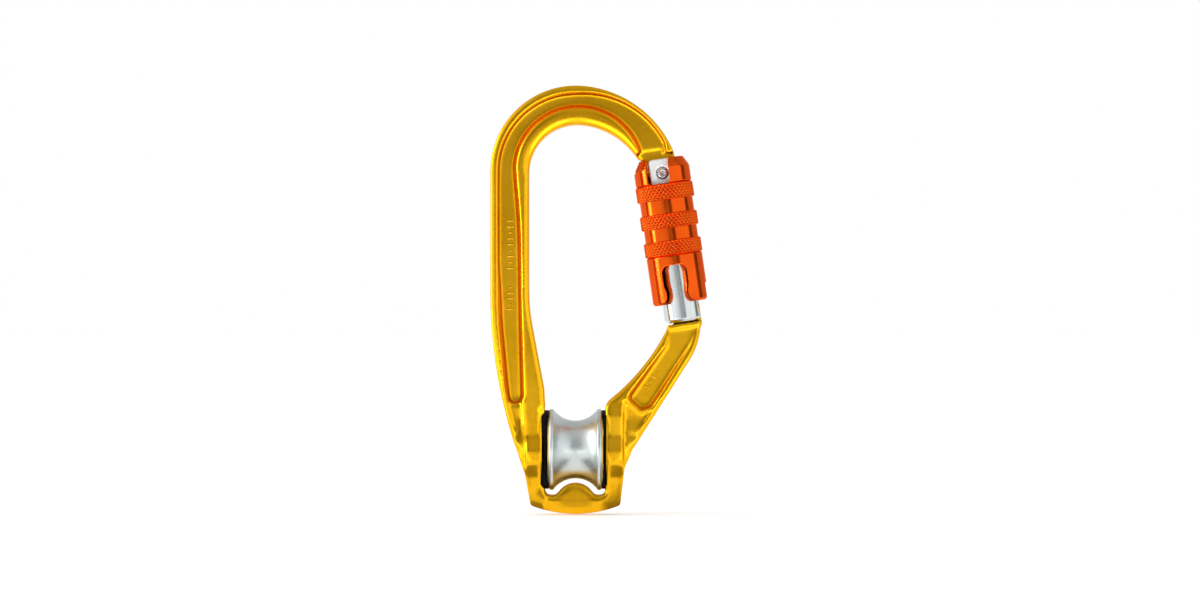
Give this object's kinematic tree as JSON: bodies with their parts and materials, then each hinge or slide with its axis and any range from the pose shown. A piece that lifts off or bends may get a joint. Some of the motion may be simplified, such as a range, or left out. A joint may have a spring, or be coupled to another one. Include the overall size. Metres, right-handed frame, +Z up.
{
  "type": "rope pulley",
  "caption": "Rope pulley built into a locking carabiner: gold forged frame, concave grey sheave between two cheeks, and a hinged gate with a knurled orange locking sleeve.",
  "frame": {"origin": "centre of the sheave, on the axle", "axes": "+X along the axle towards the gate, +Z up the load line to the anchor bow, Y through the depth of the forging"},
  "size_m": [0.0676, 0.0254, 0.1335],
  "materials": {
    "frame_gold": "gold anodised, polished forging",
    "sheave_grey": "satin turned",
    "gate_silver": "polished",
    "sleeve_orange": "orange anodised",
    "steel": "plain",
    "bearing_steel": "ground",
    "spring_steel": "drawn wire",
    "seal_rubber": "matte",
    "black_plastic": "matte"
  },
  "bodies": {
    "frame": {"frame": "frame_gold", "axle": "steel", "bearing_spacer": "steel", "bearing_inner_ring_left": "bearing_steel", "bearing_inner_ring_right": "bearing_steel", "side_washer_left": "black_plastic", "side_washer_right": "black_plastic"},
    "sheave": {"sheave": "sheave_grey", "bearing_outer_ring_left": "bearing_steel", "bearing_outer_ring_right": "bearing_steel", "bearing_seals_left": "seal_rubber", "bearing_seals_right": "seal_rubber"},
    "bearing_balls": {"bearing_balls_left": "bearing_steel", "bearing_balls_right": "bearing_steel"},
    "gate": {"gate_body": "gate_silver", "hinge_rivet": "steel", "guide_pin": "steel", "gate_spring": "spring_steel"},
    "gate_plunger": {"gate_plunger": "steel"},
    "sleeve_carrier": {"sleeve_collar": "steel", "sleeve_spring": "spring_steel"},
    "sleeve": {"sleeve": "sleeve_orange"}
  },
  "joints": [
    {"name": "sheave_spin", "type": "hinge", "parent": "frame", "child": "sheave", "pos_m": [0, 0, 0], "axis": [1, 0, 0], "continuous": true},
    {"name": "ball_orbit", "type": "hinge", "parent": "frame", "child": "bearing_balls", "pos_m": [0, 0, 0], "axis": [1, 0, 0], "continuous": true},
    {"name": "gate_swing", "type": "hinge", "parent": "frame", "child": "gate", "pos_m": [0.0271, 0, 0.0862], "axis": [0, 1, 0], "range_deg": [0, 28], "stiffness_Nm_per_rad": 0.12, "springref_deg": -22.92},
    {"name": "plunger_slide", "type": "slide", "parent": "gate", "child": "gate_plunger", "axis": [0.145, 0, -0.9894], "range_m": [0, 0.00096], "deforming": ["gate_spring"]},
    {"name": "sleeve_slide", "type": "slide", "parent": "gate", "child": "sleeve_carrier", "axis": [0.145, 0, -0.9894], "range_m": [0, 0.004], "stiffness_N_per_m": 900, "springref_m": -0.006, "deforming": ["sleeve_spring"]},
    {"name": "sleeve_turn", "type": "hinge", "parent": "sleeve_carrier", "child": "sleeve", "pos_m": [0.0271, 0, 0.0862], "axis": [0.145, 0, -0.9894], "range_deg": [0, 80], "stiffness_Nm_per_rad": 0.02, "springref_deg": -34.38}
  ],
  "couplings": [
    {"joint": "ball_orbit", "follows": "sheave_spin", "ratio": 0.5952},
    {"joint": "plunger_slide", "follows": "gate_swing", "m_per_rad": 0.00194}
  ]
}
